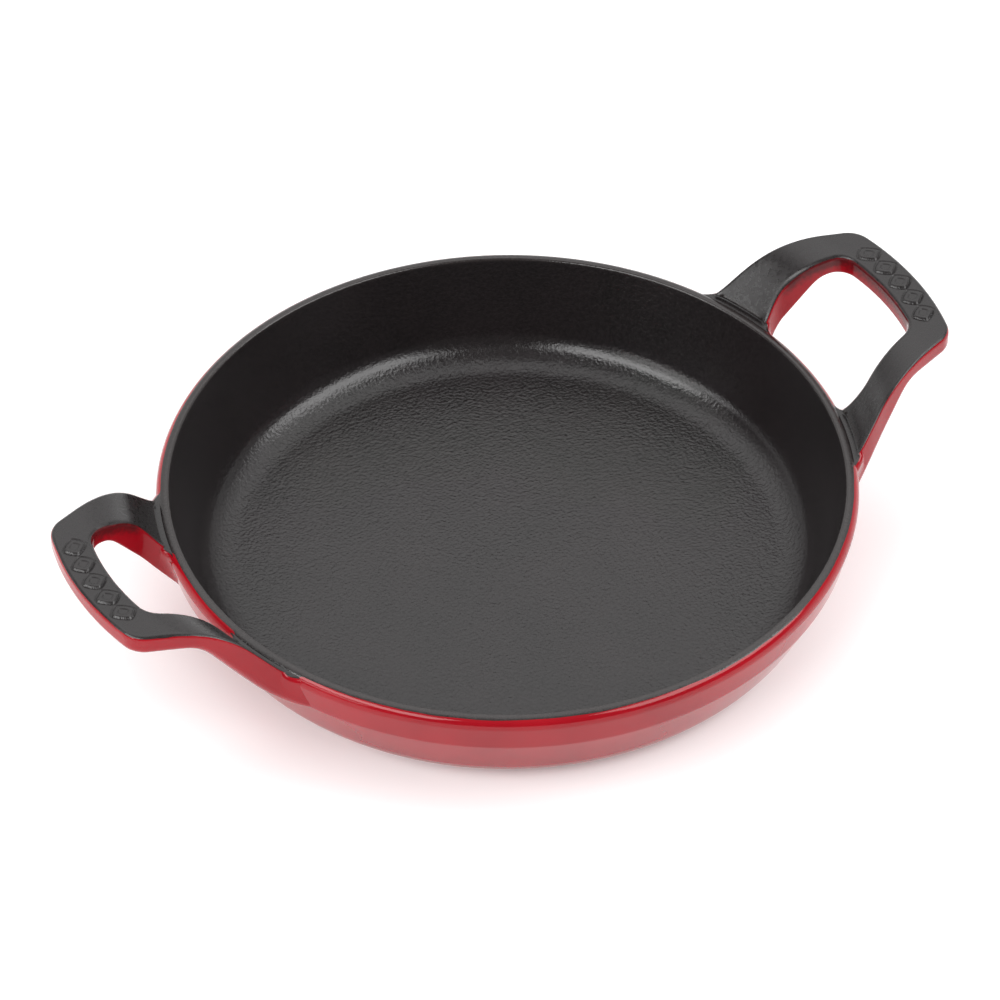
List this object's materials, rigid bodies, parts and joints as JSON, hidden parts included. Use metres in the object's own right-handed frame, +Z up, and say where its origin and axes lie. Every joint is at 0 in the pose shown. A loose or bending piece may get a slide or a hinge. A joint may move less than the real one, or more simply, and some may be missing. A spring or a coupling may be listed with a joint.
{
  "type": "two-handled round baking dish",
  "caption": "Low round cast-iron baking dish with a flared wall and a raised loop handle at each end; black enamel inside, red enamel outside.",
  "frame": {"origin": "middle of the base, on the surface the dish stands on", "axes": "+X from the middle of the dish towards the right handle, +Z up out of the bowl, +Y across the plain side"},
  "size_m": [0.2728, 0.2018, 0.0535],
  "materials": {
    "iron": "sand-cast grey iron, hidden under the enamel",
    "black_enamel": "matte to satin black vitreous enamel with a fine pebbled texture",
    "red_enamel": "glossy cherry-red vitreous enamel",
    "underside_enamel": "satin black ground-coat enamel"
  },
  "bodies": {
    "root": {"cast_iron_base": "iron", "cast_iron_side_wall": "iron", "cast_iron_handle_left": "iron", "cast_iron_handle_right": "iron", "black_enamel_lining": "black_enamel", "black_enamel_handle_top_left": "black_enamel", "black_enamel_handle_top_right": "black_enamel", "red_enamel_jacket": "red_enamel", "red_enamel_handle_left": "red_enamel", "red_enamel_handle_right": "red_enamel", "underside_enamel": "underside_enamel"}
  },
  "joints": []
}
